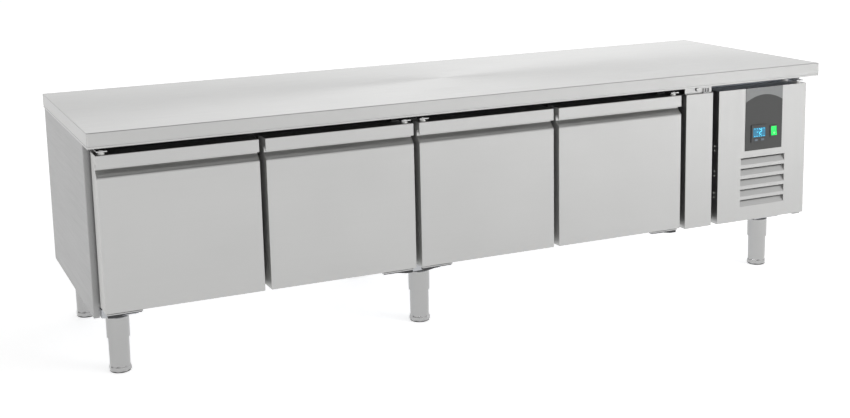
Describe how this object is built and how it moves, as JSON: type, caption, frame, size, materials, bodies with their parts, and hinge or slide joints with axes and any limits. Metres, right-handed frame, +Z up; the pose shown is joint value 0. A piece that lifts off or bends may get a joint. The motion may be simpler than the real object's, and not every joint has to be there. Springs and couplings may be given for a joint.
{
  "type": "under counter fridge",
  "caption": "Low refrigerated counter with a flat steel worktop, hinged doors with full-width finger recesses, a louvred machine panel and round adjustable legs.",
  "frame": {"origin": "on the floor under the middle of the worktop", "axes": "+X along the counter to its right end as the user faces it, +Y to the back, +Z up"},
  "size_m": [2.23, 0.7, 0.65],
  "materials": {
    "brushed_steel_sheet": "brushed",
    "polished_steel": "polished",
    "board": "plain",
    "insulation": "matte",
    "liner_sheet": "satin",
    "door_core": "satin",
    "gasket": "matte",
    "fins": "satin",
    "fan_plastic": "matte",
    "motor_metal": "satin",
    "compressor_paint": "gloss",
    "copper_lines": "satin",
    "grey_plastic": "matte",
    "black_plastic": "matte",
    "hinge_steel": "satin",
    "rocker_green": "gloss",
    "key_grey": "gloss"
  },
  "bodies": {
    "cabinet": {"worktop": "brushed_steel_sheet", "worktop_board": "board", "side_panel_left": "brushed_steel_sheet", "side_panel_right": "brushed_steel_sheet", "back_panel": "brushed_steel_sheet", "front_frame": "brushed_steel_sheet", "liner": "liner_sheet", "base_panel": "brushed_steel_sheet", "foam_floor": "insulation", "foam_top": "insulation", "foam_back": "insulation", "foam_left": "insulation", "foam_partition": "insulation", "mullions": "liner_sheet", "shelf_racks": "polished_steel", "shelves": "polished_steel", "evaporator_cover": "liner_sheet", "evaporator_coil": "fins", "evaporator_motor": "motor_metal", "evaporator_tray": "liner_sheet", "fixed_panel": "brushed_steel_sheet", "machine_base": "brushed_steel_sheet", "rear_grille": "brushed_steel_sheet", "cable_gland": "black_plastic", "compressor": "compressor_paint", "condenser_coil": "fins", "condenser_shroud": "motor_metal", "condenser_motor": "motor_metal", "refrigerant_lines": "copper_lines", "electrical_box": "grey_plastic", "hinge_brackets_top": "hinge_steel", "hinge_brackets_bottom": "hinge_steel", "legs": "polished_steel"},
    "door_1": {"door_1_shell": "brushed_steel_sheet", "door_1_core": "door_core", "door_1_gasket": "gasket"},
    "door_2": {"door_2_shell": "brushed_steel_sheet", "door_2_core": "door_core", "door_2_gasket": "gasket"},
    "door_3": {"door_3_shell": "brushed_steel_sheet", "door_3_core": "door_core", "door_3_gasket": "gasket"},
    "door_4": {"door_4_shell": "brushed_steel_sheet", "door_4_core": "door_core", "door_4_gasket": "gasket"},
    "service_panel": {"service_panel": "brushed_steel_sheet", "control_plate": "grey_plastic", "thermostat": "black_plastic", "switch_frame": "black_plastic"},
    "power_rocker": {"power_rocker": "rocker_green"},
    "key_left": {"key_left": "key_grey"},
    "key_right": {"key_right": "key_grey"},
    "condenser_fan": {"condenser_fan": "fan_plastic"},
    "evaporator_fan": {"evaporator_fan": "fan_plastic"},
    "foot_1": {"foot_1": "polished_steel"},
    "foot_2": {"foot_2": "polished_steel"},
    "foot_3": {"foot_3": "polished_steel"},
    "foot_4": {"foot_4": "polished_steel"},
    "foot_5": {"foot_5": "polished_steel"},
    "foot_6": {"foot_6": "polished_steel"}
  },
  "joints": [
    {"name": "door_1_hinge", "type": "hinge", "parent": "cabinet", "child": "door_1", "pos_m": [-1.078, -0.327, 0.39], "axis": [0, 0, -1], "range_deg": [0, 90]},
    {"name": "door_2_hinge", "type": "hinge", "parent": "cabinet", "child": "door_2", "pos_m": [-0.269, -0.327, 0.39], "axis": [0, 0, 1], "range_deg": [0, 90]},
    {"name": "door_3_hinge", "type": "hinge", "parent": "cabinet", "child": "door_3", "pos_m": [-0.216, -0.327, 0.39], "axis": [0, 0, -1], "range_deg": [0, 90]},
    {"name": "door_4_hinge", "type": "hinge", "parent": "cabinet", "child": "door_4", "pos_m": [0.593, -0.327, 0.39], "axis": [0, 0, 1], "range_deg": [0, 90]},
    {"name": "service_panel_hinge", "type": "hinge", "parent": "cabinet", "child": "service_panel", "pos_m": [1.053, -0.327, 0.387], "axis": [0, 0, 1], "range_deg": [0, 90]},
    {"name": "rocker_tilt", "type": "hinge", "parent": "service_panel", "child": "power_rocker", "pos_m": [0.95, -0.344, 0.453], "axis": [1, 0, 0], "range_deg": [0, 12]},
    {"name": "key_left_push", "type": "slide", "parent": "service_panel", "child": "key_left", "axis": [0, 1, 0], "range_m": [0, 0.001], "stiffness_N_per_m": 300},
    {"name": "key_right_push", "type": "slide", "parent": "service_panel", "child": "key_right", "axis": [0, 1, 0], "range_m": [0, 0.001], "stiffness_N_per_m": 300},
    {"name": "condenser_fan_spin", "type": "hinge", "parent": "cabinet", "child": "condenser_fan", "pos_m": [0.915, -0.184, 0.318], "axis": [0, 1, 0], "continuous": true},
    {"name": "evaporator_fan_spin", "type": "hinge", "parent": "cabinet", "child": "evaporator_fan", "pos_m": [0.599, -0.09, 0.43], "axis": [1, 0, 0], "continuous": true},
    {"name": "foot_1_height", "type": "slide", "parent": "cabinet", "child": "foot_1", "axis": [0, 0, 1], "range_m": [-0.03, 0.03]},
    {"name": "foot_2_height", "type": "slide", "parent": "cabinet", "child": "foot_2", "axis": [0, 0, 1], "range_m": [-0.03, 0.03]},
    {"name": "foot_3_height", "type": "slide", "parent": "cabinet", "child": "foot_3", "axis": [0, 0, 1], "range_m": [-0.03, 0.03]},
    {"name": "foot_4_height", "type": "slide", "parent": "cabinet", "child": "foot_4", "axis": [0, 0, 1], "range_m": [-0.03, 0.03]},
    {"name": "foot_5_height", "type": "slide", "parent": "cabinet", "child": "foot_5", "axis": [0, 0, 1], "range_m": [-0.03, 0.03]},
    {"name": "foot_6_height", "type": "slide", "parent": "cabinet", "child": "foot_6", "axis": [0, 0, 1], "range_m": [-0.03, 0.03]}
  ]
}
